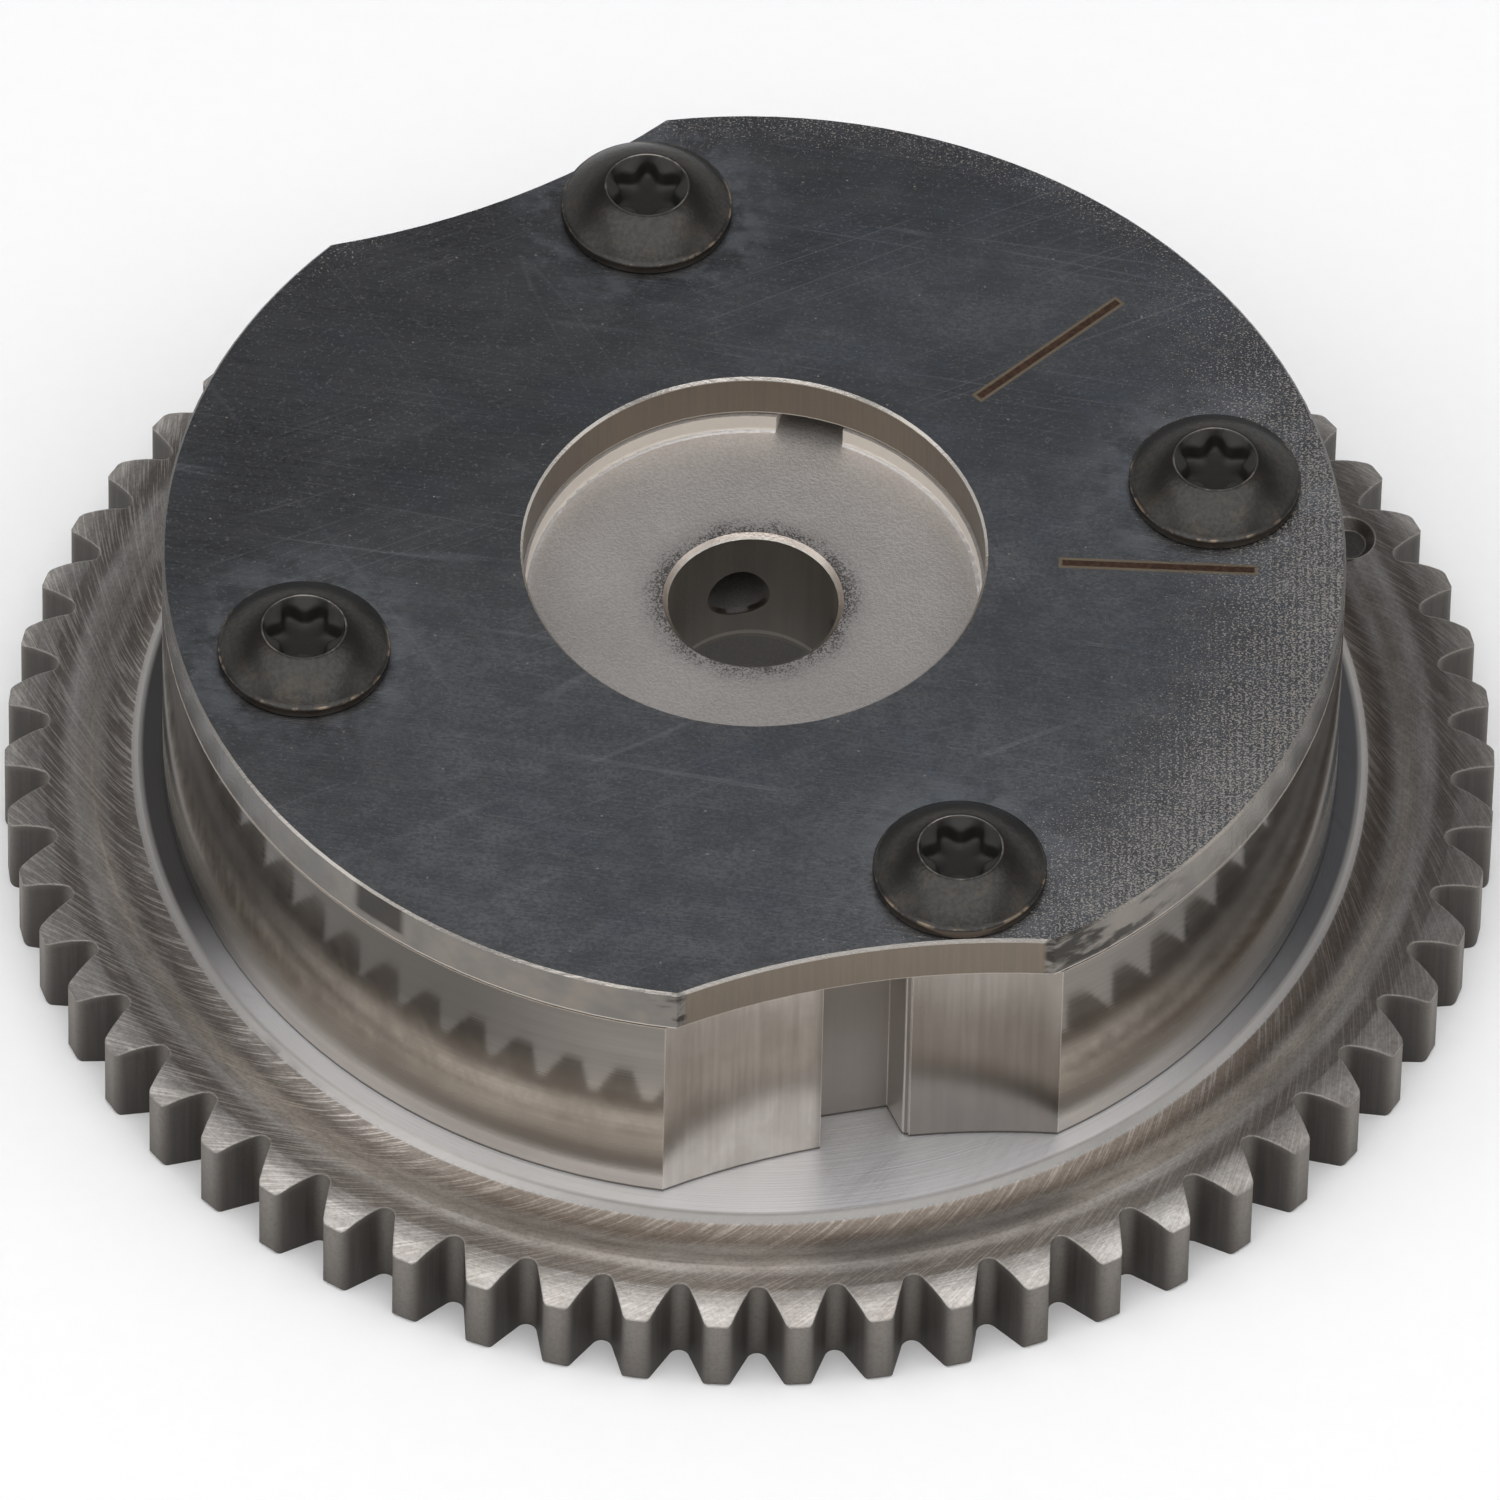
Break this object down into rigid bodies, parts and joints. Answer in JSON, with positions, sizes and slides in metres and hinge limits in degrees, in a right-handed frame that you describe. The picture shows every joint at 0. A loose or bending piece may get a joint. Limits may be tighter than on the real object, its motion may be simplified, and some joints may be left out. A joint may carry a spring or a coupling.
{
  "type": "cam phaser",
  "caption": "Vane-type cam phaser: a toothed chain sprocket carries a notched housing and a screwed front cover, and a vaned rotor inside turns to shift the camshaft's timing.",
  "frame": {"origin": "on the axis, in the plane of the sprocket's rear face", "axes": "+Z along the axis towards the front cover; -Y towards the slotted notch"},
  "size_m": [0.1174, 0.1174, 0.0348],
  "materials": {
    "sprocket_steel": "sintered and brushed steel with brown heat tint",
    "ground_steel": "ground and polished",
    "blued_steel": "dark ground steel with fine scratches",
    "black_oxide_steel": "black oxide",
    "sintered_steel": "matte sintered grain",
    "hardened_steel": "ground",
    "spring_steel": "drawn",
    "seal_polymer": "filled fluoropolymer"
  },
  "bodies": {
    "housing_assembly": {"sprocket": "sprocket_steel", "lock_bush": "hardened_steel", "housing": "ground_steel", "front_cover": "blued_steel", "cover_screws": "black_oxide_steel", "shoe_seal_1": "seal_polymer", "shoe_seal_2": "seal_polymer", "shoe_seal_3": "seal_polymer", "shoe_seal_4": "seal_polymer", "shoe_seal_spring_1": "spring_steel", "shoe_seal_spring_2": "spring_steel", "shoe_seal_spring_3": "spring_steel", "shoe_seal_spring_4": "spring_steel"},
    "rotor_assembly": {"rotor": "sintered_steel", "lock_spring": "spring_steel", "spring_seat": "hardened_steel", "vane_seal_1": "seal_polymer", "vane_seal_2": "seal_polymer", "vane_seal_3": "seal_polymer", "vane_seal_4": "seal_polymer", "vane_seal_spring_1": "spring_steel", "vane_seal_spring_2": "spring_steel", "vane_seal_spring_3": "spring_steel", "vane_seal_spring_4": "spring_steel"},
    "lock_pin": {"lock_pin": "hardened_steel"}
  },
  "joints": [
    {"name": "rotor_phase", "type": "hinge", "parent": "housing_assembly", "child": "rotor_assembly", "pos_m": [0, 0, 0.018], "axis": [0, 0, -1], "range_deg": [0, 32]},
    {"name": "lock_pin_slide", "type": "slide", "parent": "rotor_assembly", "child": "lock_pin", "axis": [0, 0, 1], "range_m": [0, 0.0016], "stiffness_N_per_m": 900, "springref_m": -0.004, "deforming": ["lock_spring"]}
  ]
}
